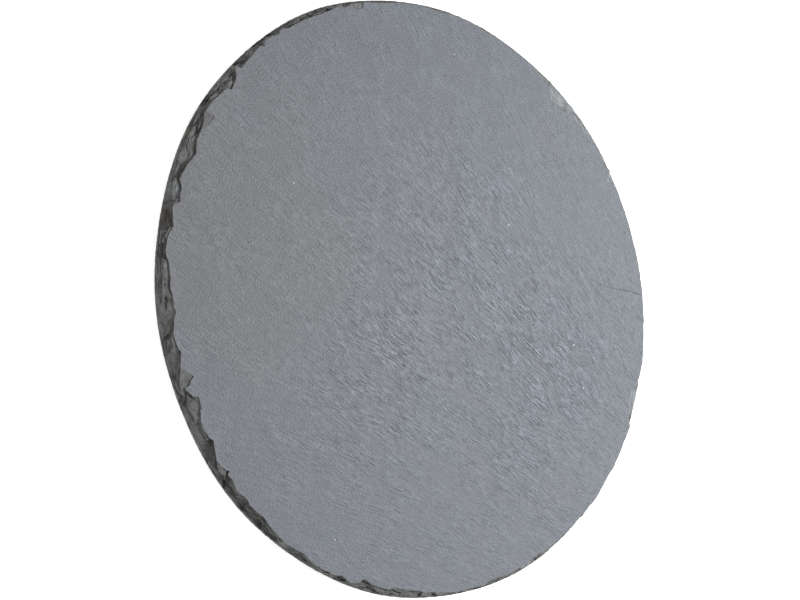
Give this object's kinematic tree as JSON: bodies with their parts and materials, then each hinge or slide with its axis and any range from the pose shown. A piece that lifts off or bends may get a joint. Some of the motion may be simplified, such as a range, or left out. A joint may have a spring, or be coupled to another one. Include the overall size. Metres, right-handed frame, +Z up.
{
  "type": "slate slab",
  "caption": "Thin round slab of natural slate with a flat split face and a rim chipped to a rough bevel by hand.",
  "frame": {"origin": "middle of the underside, on the surface that the slab lies on", "axes": "+Z up out of the good face, along the thickness; +X and +Y in the plane of the slab, with +Y along the diameter that runs up the picture and -X towards the viewer"},
  "size_m": [0.2994, 0.2987, 0.005],
  "materials": {
    "slate": "matt natural cleft slate, blue-grey, with a darker broken rim"
  },
  "bodies": {
    "root": {"slate_slab": "slate"}
  },
  "joints": []
}
